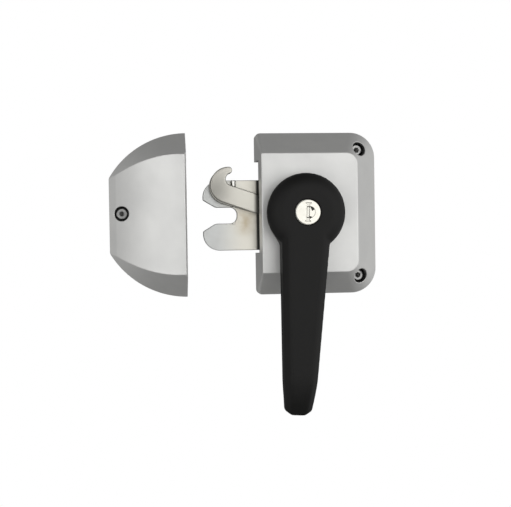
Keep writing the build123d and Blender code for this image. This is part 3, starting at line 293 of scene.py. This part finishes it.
def makeFinish(name, ownValues):
    values = {**usualFinish, **ownValues}
    material = bpy.data.materials.new(name)
    material.use_nodes = True
    tree = material.node_tree
    skin = tree.nodes["Principled BSDF"]
    skin.inputs["Metallic"].default_value = values["metallic"]
    skin.inputs["Specular IOR Level"].default_value = values["specular"]

    def mixColour(mask, under, over):
        mixed = addNode(tree, "ShaderNodeMix", {"Factor": mask, colourMix["under"]: under,
                                                colourMix["over"]: (*over, 1)}, data_type="RGBA")
        return mixed.outputs[colourMix["result"]]

    grain = addNode(tree, "ShaderNodeGroup", {
        "Grain Size": values["grain"], "Patch Size": values["patch"], "Stretch": values["stretch"],
    }, node_tree=grainGroup)
    edge = addNode(tree, "ShaderNodeGroup", {
        "Radius": values["radius"], "Breakup": values["breakup"],
        "Starts At": values["edge"][0], "Full At": values["edge"][1],
    }, node_tree=edgeGroup)
    spread = ramp(tree, grain.outputs["Patch"], *values["spread"])
    colour = mixColour(spread, (*values["colour"], 1), values["shade"])
    # real stains on the fork, and on the hook a painted shade spot at its nose
    if "stainAndShade" in values:
        mark = values["stainAndShade"]
        stainAndShade = addNode(tree, "ShaderNodeGroup", {
            "From": mark["ends"][0], "To": mark["ends"][1], "Spot": mark["spot"],
            "Spot Size": mark["size"], "Blotch Size": mark["blotch"],
        }, node_tree=stainAndShadeGroup)
        colour = mixColour(stainAndShade.outputs["Along"], colour, mark["colour"])
        colour = mixColour(stainAndShade.outputs["Spot"], colour, mark["spotStainAndShadeColour"])
    # edge wear on most finishes; a painted edge highlight on the casting, and painted dark edges on the hook,
    # key and stop
    wearAndEdgeShading = calc(tree, "MULTIPLY", edge.outputs["Mask"], values["wearAndEdgeShading"])
    colour = mixColour(wearAndEdgeShading, colour, values["wearAndEdgeShadingColour"])
    # painted shade that deepens along one direction of the piece
    if "paintedShade" in values:
        mark = values["paintedShade"]
        paintedShade = addNode(tree, "ShaderNodeGroup", {
            "Direction": mark["way"], "From": mark["ends"][0], "To": mark["ends"][1],
        }, node_tree=stainAndShadeGroup)
        colour = mixColour(paintedShade.outputs["Along"], colour, mark["colour"])
    # painted shade in the piece's own wells and hollows
    if "recess" in values:
        mark = values["recess"]
        recess = addNode(tree, "ShaderNodeGroup", {
            "Reach": mark["reach"], "Open": mark["depth"][0], "Closed": mark["depth"][1],
        }, node_tree=recessGroup)
        colour = mixColour(recess.outputs["Mask"], colour, mark["colour"])
    bump = addNode(tree, "ShaderNodeBump", {
        "Strength": values["bump"], "Distance": values["bumpDepth"],
        "Height": grain.outputs["Grain"], "Normal": edge.outputs["Normal"]})
    join(tree, colour, skin.inputs["Base Color"])
    join(tree, ramp(tree, grain.outputs["Patch"], 0.0, 1.0, *values["rough"]), skin.inputs["Roughness"])
    join(tree, bump.outputs["Normal"], skin.inputs["Normal"])
    return material


materials = {name: makeFinish(name, values) for name, values in finishes.items()}
slotFinish = {"satin_cover": "satinCasting", "stainless": "stainlessPlate", "screw_steel": "screwSteel",
              "zinc_steel": "zincSteel", "sliding_plastic": "slidingPlastic", "bush_bronze": "bushBronze",
              "spring_steel": "springSteel", "bumper_rubber": "bumperRubber",
              "black_handle": "mouldedBlack", "key_nickel": "brightNickel", "wafer_brass": "waferBrass"}
ownFinish = {"cylinder_plug": "keyNickel", "hook_stop": "stopSteel", "fork_plate": "forkSteel",
             "hook_front_plate": "hookSteel", "hook_rear_plate": "hookSteel"}
for subpart in frame["record"]["subparts"]:
    shown = nodes[subpart["node"]]
    finish = ownFinish.get(subpart["node"], slotFinish[subpart["material_slot"]])
    shown.data.materials.clear()
    shown.data.materials.append(materials[finish])
print("finishes made,", len(materials))


# Lever handle: a softly rounded moulding in place of the solid's hard edges

handleShell = dict(merge=0.000002, voxel=0.0008, smoothRounds=16, smoothFactor=0.5)


def makeHandle(values):
    mesh = nodes["handle"].data.copy()
    mesh.name = "leverMoulding"
    shape = bmesh.new()
    shape.from_mesh(mesh)
    bmesh.ops.remove_doubles(shape, verts=shape.verts, dist=values["merge"])
    shape.to_mesh(mesh)
    shape.free()
    made = addObject("leverMoulding", mesh)
    remesh = made.modifiers.new("remesh", "REMESH")
    remesh.mode = "VOXEL"
    remesh.voxel_size = values["voxel"]
    smooth = made.modifiers.new("smooth", "SMOOTH")
    smooth.iterations = values["smoothRounds"]
    smooth.factor = values["smoothFactor"]
    applyModifiers(made)
    made.data.materials.clear()
    made.data.materials.append(materials["mouldedBlack"])
    made.data.shade_smooth()
    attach(made, "lever")
    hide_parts("handle")
    return made


lever = makeHandle(handleShell)
print("lever moulding,", len(lever.data.polygons), "faces")


# Socket head screws of the two covers

coverScrewNodes = ("cover_screws", "strike_cover_screw")
# socketWidth is across the flats, and coneShare is the drilled cone's part of the socket's radius
screwShape = dict(headRadius=0.00425, headHeight=0.005, chamfer=0.0005, socketWidth=0.004, socketDepth=0.0026,
                  socketCone=0.0012, coneShare=0.86, shaftRadius=0.0025,
                  headSides=48, shaftSides=32, socketSides=6, coneSides=32, seed=7)


def endOnPoints(tree, given, result, instance, rotation, smooth):
    # a copy on each point, made real and given its material
    placed = addNode(tree, "GeometryNodeInstanceOnPoints", {
        "Points": given.outputs["Geometry"], "Instance": instance, "Rotation": rotation})
    last = addNode(tree, "GeometryNodeRealizeInstances", {"Geometry": placed.outputs["Instances"]})
    if smooth:
        last = addNode(tree, "GeometryNodeSetShadeSmooth", {"Geometry": last.outputs["Geometry"]})
    shaded = addNode(tree, "GeometryNodeSetMaterial", {
        "Geometry": last.outputs["Geometry"], "Material": given.outputs["Material"]})
    join(tree, shaded.outputs["Geometry"], result.inputs["Geometry"])


def makeScrewTree(values):
    # a chamfered head with a hexagon socket on a plain shaft, turned about its own axis by the seed
    lengths = ("Head Radius", "Head Height", "Chamfer", "Socket Width", "Socket Depth", "Socket Cone",
               "Shaft Radius", "Shaft Length")
    inputs = {"Geometry": ("NodeSocketGeometry", None)}
    inputs.update({label: ("NodeSocketFloat", 0.001) for label in lengths})
    inputs["Seed"] = ("NodeSocketInt", 0)
    inputs["Material"] = ("NodeSocketMaterial", None)
    tree, given, result = addGroup("socketScrews", "GeometryNodeTree", inputs,
                                   {"Geometry": "NodeSocketGeometry"})
    size = {label: given.outputs[label] for label in lengths}

    def solid(kind, sides, sizes, level):
        made = addNode(tree, kind, {"Vertices": sides, **sizes})
        place = addNode(tree, "ShaderNodeCombineXYZ", {"Z": level})
        moved = addNode(tree, "GeometryNodeTransform", {
            "Geometry": made.outputs["Mesh"], "Translation": place.outputs[0]})
        return moved.outputs["Geometry"]

    drum = calc(tree, "SUBTRACT", size["Head Height"], size["Chamfer"])
    topRadius = calc(tree, "SUBTRACT", size["Head Radius"], size["Chamfer"])
    socketRadius = calc(tree, "DIVIDE", size["Socket Width"], math.sqrt(3))  # to the corners
    socketFloor = calc(tree, "SUBTRACT", size["Head Height"], size["Socket Depth"])
    parts = [
        solid("GeometryNodeMeshCylinder", values["headSides"],
              {"Radius": size["Head Radius"], "Depth": drum}, calc(tree, "DIVIDE", drum, 2.0)),
        solid("GeometryNodeMeshCone", values["headSides"],
              {"Radius Bottom": size["Head Radius"], "Radius Top": topRadius, "Depth": size["Chamfer"]}, drum),
        solid("GeometryNodeMeshCylinder", values["shaftSides"],
              {"Radius": size["Shaft Radius"], "Depth": size["Shaft Length"]},
              calc(tree, "MULTIPLY", size["Shaft Length"], -0.5)),
    ]
    cutters = [
        solid("GeometryNodeMeshCylinder", values["socketSides"],
              {"Radius": socketRadius, "Depth": calc(tree, "MULTIPLY", size["Socket Depth"], 2.0)},
              size["Head Height"]),
        solid("GeometryNodeMeshCone", values["coneSides"],
              {"Radius Top": calc(tree, "MULTIPLY", socketRadius, values["coneShare"]),
               "Radius Bottom": 0.0, "Depth": size["Socket Cone"]},
              calc(tree, "SUBTRACT", socketFloor, size["Socket Cone"])),
    ]
    whole = addNode(tree, "GeometryNodeMeshBoolean", operation="UNION", solver="EXACT")
    for part in parts:
        join(tree, part, whole.inputs["Mesh 2"])
    cut = addNode(tree, "GeometryNodeMeshBoolean", {"Mesh 1": whole.outputs["Mesh"]},
                  operation="DIFFERENCE", solver="EXACT")
    for cutter in cutters:
        join(tree, cutter, cut.inputs["Mesh 2"])
    turn = addNode(tree, "FunctionNodeRandomValue", {
        0: (math.pi / 2, 0, 0), 1: (math.pi / 2, math.pi / 3, 0), "Seed": given.outputs["Seed"],
    }, data_type="FLOAT_VECTOR")
    endOnPoints(tree, given, result, cut.outputs["Mesh"], turn.outputs[0], smooth=False)
    return tree


def growFromPoints(name, points, tree, inputs):
    # runs a node tree on loose points, and leaves a plain mesh behind
    mesh = bpy.data.meshes.new(name)
    mesh.from_pydata(points, [], [])
    made = addObject(name, mesh)
    modifier = made.modifiers.new(name, "NODES")
    modifier.node_group = tree
    sockets = {item.name: item.identifier for item in tree.interface.items_tree if item.in_out == "INPUT"}
    for label, value in inputs.items():
        modifier[sockets[label]] = value
    bpy.context.view_layer.update()
    applyModifiers(made)
    return made


def screwSpots(node):
    # where the heads of a node's screws sit on the floors of their wells, one or two of them
    low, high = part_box(node)
    middle = (low + high) / 2
    headBack = low.y + screwShape["headHeight"]
    reach = (high.z - low.z) / 2 - screwShape["headRadius"]
    heights = (middle.z,) if reach < screwShape["headRadius"] else (middle.z - reach, middle.z + reach)
    return [(middle.x, headBack, z) for z in heights]


def makeCoverScrews(values):
    tree = makeScrewTree(values)
    made = []
    for node in coverScrewNodes:
        points = screwSpots(node)
        screws = growFromPoints(node + "Turned", points, tree, {
            "Head Radius": values["headRadius"], "Head Height": values["headHeight"],
            "Chamfer": values["chamfer"], "Socket Width": values["socketWidth"],
            "Socket Depth": values["socketDepth"], "Socket Cone": values["socketCone"],
            "Shaft Radius": values["shaftRadius"], "Shaft Length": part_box(node)[1].y - points[0][1],
            "Seed": values["seed"], "Material": materials["screwSteel"]})
        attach(screws, "lock")
        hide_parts(node)
        made.append(screws)
    return made


screws = makeCoverScrews(screwShape)
print("cover screws,", sum(len(screw.data.polygons) for screw in screws), "faces")


# Black rubber rings round the heads of the cover screws, on the floors of their wells: painted shade, a dark
# ring put in the shaded gap round each head

gapShadeRingShape = dict(ringRadius=0.00492, cordRadius=0.00056, ringSteps=64, cordSteps=16)


def makeGapShadeRingTree(values):
    tree, given, result = addGroup("gapShadeRings", "GeometryNodeTree", {
        "Geometry": ("NodeSocketGeometry", None),
        "Ring Radius": ("NodeSocketFloat", 0.005),
        "Cord Radius": ("NodeSocketFloat", 0.0007),
        "Material": ("NodeSocketMaterial", None),
    }, {"Geometry": "NodeSocketGeometry"})
    ring = addNode(tree, "GeometryNodeCurvePrimitiveCircle", {
        "Resolution": values["ringSteps"], "Radius": given.outputs["Ring Radius"]})
    cord = addNode(tree, "GeometryNodeCurvePrimitiveCircle", {
        "Resolution": values["cordSteps"], "Radius": given.outputs["Cord Radius"]})
    tube = addNode(tree, "GeometryNodeCurveToMesh", {
        "Curve": ring.outputs["Curve"], "Profile Curve": cord.outputs["Curve"]})
    endOnPoints(tree, given, result, tube.outputs["Mesh"], (math.pi / 2, 0, 0), smooth=True)
    return tree


def makeGapShadeRings(values):
    spots = [spot for node in coverScrewNodes for spot in screwSpots(node)]
    points = [(x, y - values["cordRadius"], z) for x, y, z in spots]
    rings = growFromPoints("coverScrewGapShadeRings", points, makeGapShadeRingTree(values), {
        "Ring Radius": values["ringRadius"], "Cord Radius": values["cordRadius"],
        "Material": materials["bumperRubber"]})
    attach(rings, "lock")
    return rings


gapShadeRingMesh = makeGapShadeRings(gapShadeRingShape)
print("seal rings,", len(gapShadeRingMesh.data.polygons), "faces")


# Sprung shutter that closes the key slot from inside

shutterShape = dict(width=0.0019, height=0.0079, thickness=0.001, sunk=0.00068, lean=2.8, steps=24,
                    edge=0.00012, edgeSteps=2, edgeProfile=0.5)


def makeShutter(values):
    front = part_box("cylinder_plug")[0].y + values["sunk"]
    half = values["width"] / 2
    straight = values["height"] / 2 - half
    lean = math.radians(values["lean"])
    shape = bmesh.new()
    rim = []
    for step in range(values["steps"]):
        angle = 2 * math.pi * (step + 0.5) / values["steps"]
        x = half * math.cos(angle)
        z = half * math.sin(angle) + math.copysign(straight, math.sin(angle))
        rim.append(shape.verts.new((x * math.cos(lean) + z * math.sin(lean), front,
                                    z * math.cos(lean) - x * math.sin(lean))))
    plate = shape.faces.new(rim)
    grown = bmesh.ops.extrude_face_region(shape, geom=[plate], use_keep_orig=True)
    moved = [item for item in grown["geom"] if isinstance(item, bmesh.types.BMVert)]
    bmesh.ops.translate(shape, verts=moved, vec=(0, values["thickness"], 0))
    bmesh.ops.recalc_face_normals(shape, faces=shape.faces)
    frontEdges = [edge for edge in shape.edges
                  if all(abs(end.co.y - front) < values["edge"] for end in edge.verts)]
    bmesh.ops.bevel(shape, geom=frontEdges, offset=values["edge"], segments=values["edgeSteps"],
                    affect="EDGES", profile=values["edgeProfile"])
    mesh = bpy.data.meshes.new("keyShutter")
    shape.to_mesh(mesh)
    shape.free()
    # keyNickel's painted shade, deeper than the key's front face, also darkens the sunk shutter
    mesh.materials.append(materials["keyNickel"])
    made = addObject("keyShutter", mesh)
    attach(made, "key_plug")
    return made


shutter = makeShutter(shutterShape)
print("key shutter,", len(shutter.data.polygons), "faces")


# Stage, studio, lamps and camera

floorDisc = dict(sides=96, radius=0.34, place=(-0.033, 0.0, -0.38), colour=(0.88, 0.88, 0.87), rough=0.8,
                 glow=0.4)


def makeStage(values):
    bpy.ops.mesh.primitive_circle_add(vertices=values["sides"], radius=values["radius"], fill_type="NGON",
                                      location=values["place"])
    floor = bpy.context.object
    floor.name = "paleFloor"
    material = bpy.data.materials.new("paleFloor")
    material.use_nodes = True
    tree = material.node_tree
    skin = tree.nodes["Principled BSDF"]
    skin.inputs["Base Color"].default_value = (*values["colour"], 1)
    skin.inputs["Roughness"].default_value = values["rough"]
    skin.inputs["Emission Color"].default_value = (1.0, 1.0, 1.0, 1)
    ray = addNode(tree, "ShaderNodeLightPath")
    join(tree, calc(tree, "MULTIPLY", ray.outputs["Is Camera Ray"], values["glow"]),
         skin.inputs["Emission Strength"])
    floor.data.materials.append(material)
    floor.visible_glossy = False  # metal reflects the studio below it instead


studio = dict(horizon=0.35, ceiling=0.95, ceilingLevel=0.17, floorLevel=0.20, leftLevel=0.60, rightLevel=0.85,
              backFrom=0.35, backFull=0.8, backLevel=0.22, ambient=0.32)


def makeWorld(values):
    # white behind the object, even as soft light, and dimmer above, below and behind in what metal reflects
    world = bpy.data.worlds.new("studio")
    scene.world = world
    world.use_nodes = True
    tree = world.node_tree
    tree.nodes.clear()
    way = addNode(tree, "ShaderNodeTexCoord")
    split = addNode(tree, "ShaderNodeSeparateXYZ", {0: way.outputs["Generated"]})
    down = calc(tree, "MULTIPLY", split.outputs["Z"], -1.0)
    level = ramp(tree, split.outputs["X"], -1.0, 1.0, values["leftLevel"], values["rightLevel"])
    for source, start, stop, dimLevel in ((split.outputs["Z"], "horizon", "ceiling", "ceilingLevel"),
                                          (down, "horizon", "ceiling", "floorLevel"),
                                          (split.outputs["Y"], "backFrom", "backFull", "backLevel")):
        dim = ramp(tree, source, values[start], values[stop], 1.0, values[dimLevel], kind="SMOOTHSTEP")
        level = calc(tree, "MULTIPLY", level, dim)
    ray = addNode(tree, "ShaderNodeLightPath")
    soft = addNode(tree, "ShaderNodeMix", {
        "Factor": ray.outputs["Is Glossy Ray"], "A": values["ambient"], "B": level})
    clear = calc(tree, "MAXIMUM", ray.outputs["Is Camera Ray"], ray.outputs["Is Transmission Ray"])
    strength = addNode(tree, "ShaderNodeMix", {"Factor": clear, "A": soft.outputs["Result"], "B": 1.0})
    light = addNode(tree, "ShaderNodeBackground", {
        "Color": (1.0, 1.0, 1.0, 1.0), "Strength": strength.outputs["Result"]})
    addNode(tree, "ShaderNodeOutputWorld", {0: light.outputs[0]})


lamps = {
    "frontBox": dict(place=(0.75, -1.35, 0.15), aim=(-0.02, 0, 0), size=(1.5, 1.4), power=9.5),
    "leftBox": dict(place=(-0.95, -1.2, 0.0), aim=(-0.12, 0, 0), size=(0.9, 1.2), power=5.6),
    "rightBox": dict(place=(1.3, -0.5, 0.0), aim=(0, 0, 0), size=(0.9, 1.2), power=1.6),
    "backBox": dict(place=(0.55, 1.3, 0.0), aim=(-0.03, 0, 0), size=(0.5, 0.5), power=2.4),
}
shot = dict(lens=66.0, sensorWidth=36.0, place=(-0.1065, -0.750, -0.0142), aim=(-0.034, 0.0, -0.0315),
            roll=-0.9)


def turnTowards(values):
    return (Vector(values["aim"]) - Vector(values["place"])).to_track_quat("-Z", "Y")


def makeLamp(name, values):
    lamp = bpy.data.lights.new(name, "AREA")
    lamp.shape = "RECTANGLE"
    lamp.size, lamp.size_y = values["size"]
    lamp.energy = values["power"]
    holder = addObject(name, lamp)
    holder.location = values["place"]
    holder.rotation_euler = turnTowards(values).to_euler()


def makeCamera(values):
    camera = addObject("camera", bpy.data.cameras.new("camera"))
    camera.data.lens = values["lens"]
    camera.data.sensor_width = values["sensorWidth"]
    camera.location = values["place"]
    roll = Quaternion((0, 0, 1), math.radians(values["roll"]))
    camera.rotation_euler = (turnTowards(values) @ roll).to_euler()
    scene.camera = camera


makeStage(floorDisc)
makeWorld(studio)
for name, values in lamps.items():
    makeLamp(name, values)
makeCamera(shot)
scene.view_settings.view_transform = "Standard"
print("stage, lamps and camera set")
